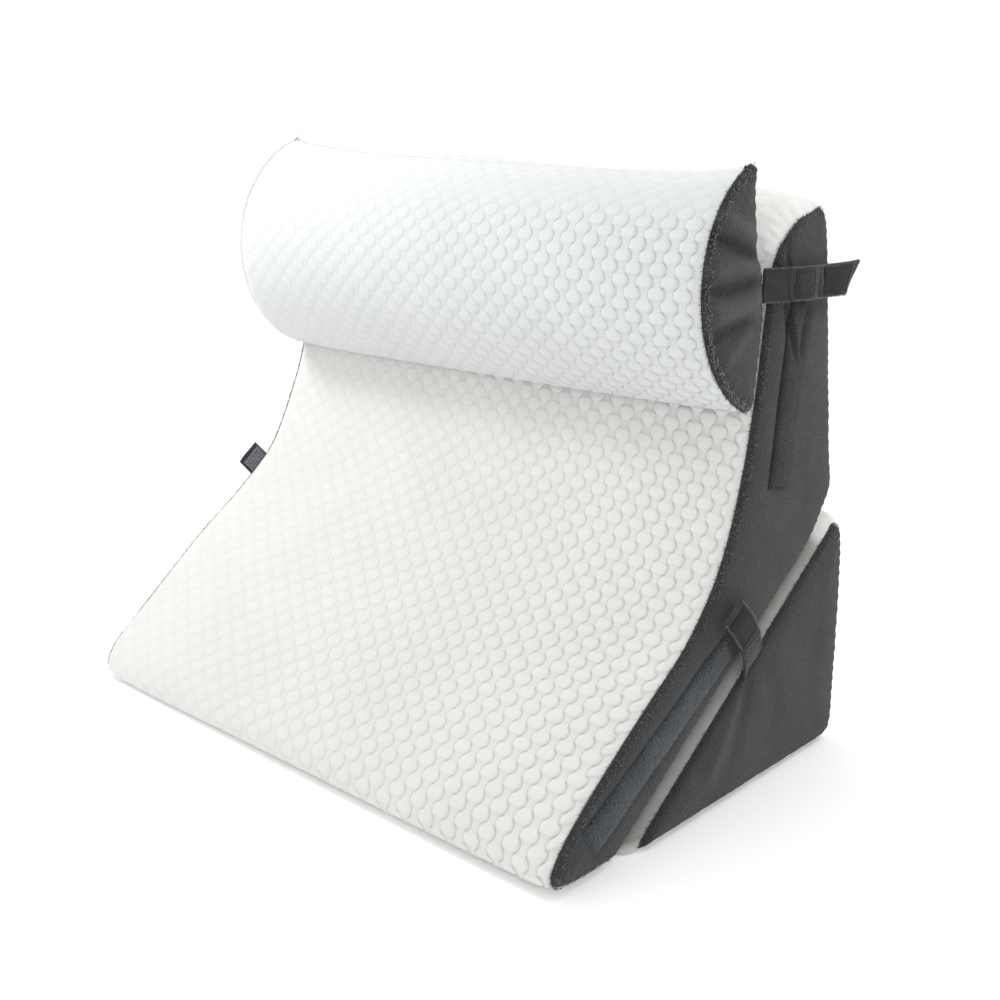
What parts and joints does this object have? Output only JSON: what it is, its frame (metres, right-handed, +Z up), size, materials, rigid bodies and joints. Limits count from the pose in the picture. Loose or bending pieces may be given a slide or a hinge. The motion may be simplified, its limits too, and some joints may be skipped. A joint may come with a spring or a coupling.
{
  "type": "wedge pillow set",
  "caption": "Three-piece bed wedge pillow: base wedge, bent back cushion and half-round neck roll, white bubble knit with grey velour ends and straps.",
  "frame": {"origin": "on the floor under the base wedge, midway across the pillow's width, at the base wedge's flat underside", "axes": "+X to the right end along the width, -Y towards the toe that a person sits against, +Z up"},
  "size_m": [0.6857, 0.4145, 0.5476],
  "materials": {
    "warm_knit": "matte",
    "cool_knit": "matte",
    "grey_velour": "matte",
    "loop_pile": "matte",
    "hook_tape": "matte"
  },
  "bodies": {
    "root": {"base_cushion": "warm_knit", "base_panel_left": "grey_velour", "base_panel_right": "grey_velour", "back_cushion": "warm_knit", "back_panel_left": "grey_velour", "back_panel_right": "grey_velour", "neck_cushion": "cool_knit", "neck_panel_left": "grey_velour", "neck_panel_right": "grey_velour", "loop_upper_left": "loop_pile", "loop_upper_right": "loop_pile", "loop_lower_left": "loop_pile", "loop_lower_right": "loop_pile", "neck_strap_left": "grey_velour", "neck_strap_right": "grey_velour", "neck_hook_left": "hook_tape", "neck_hook_right": "hook_tape", "base_strap_left": "grey_velour", "base_strap_right": "grey_velour", "base_hook_left": "hook_tape", "base_hook_right": "hook_tape"}
  },
  "joints": []
}
